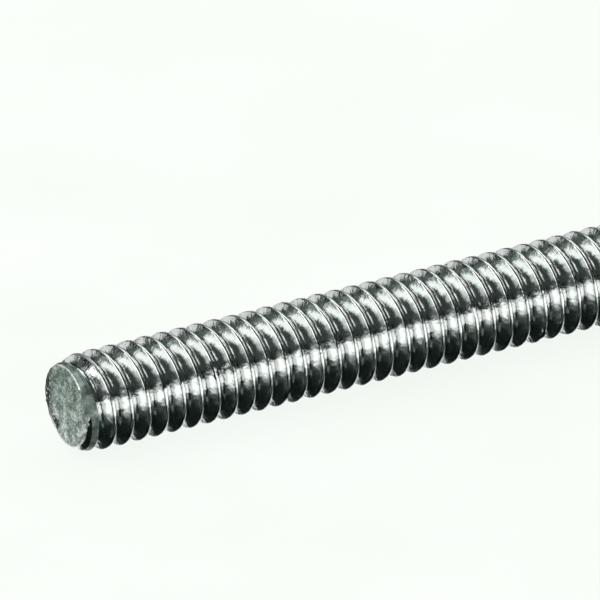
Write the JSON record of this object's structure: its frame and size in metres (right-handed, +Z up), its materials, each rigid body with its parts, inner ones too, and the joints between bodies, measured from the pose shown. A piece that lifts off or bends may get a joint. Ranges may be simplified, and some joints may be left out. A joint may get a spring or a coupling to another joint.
{
  "type": "threaded rod",
  "caption": "Fully threaded steel rod with a coarse right-hand thread along its whole length, cut square with a light taper at each end.",
  "frame": {"origin": "on the rod's axis, halfway between its two cut ends", "axes": "+X along the rod's axis, towards end_b; +Y and +Z across it, with +Z up as the rod lies"},
  "size_m": [0.1016, 0.0064, 0.0064],
  "materials": {
    "plated_steel": "bright rolled thread with a thin zinc coat, dull granular cut ends"
  },
  "bodies": {
    "root": {"threaded_rod": "plated_steel"}
  },
  "joints": []
}
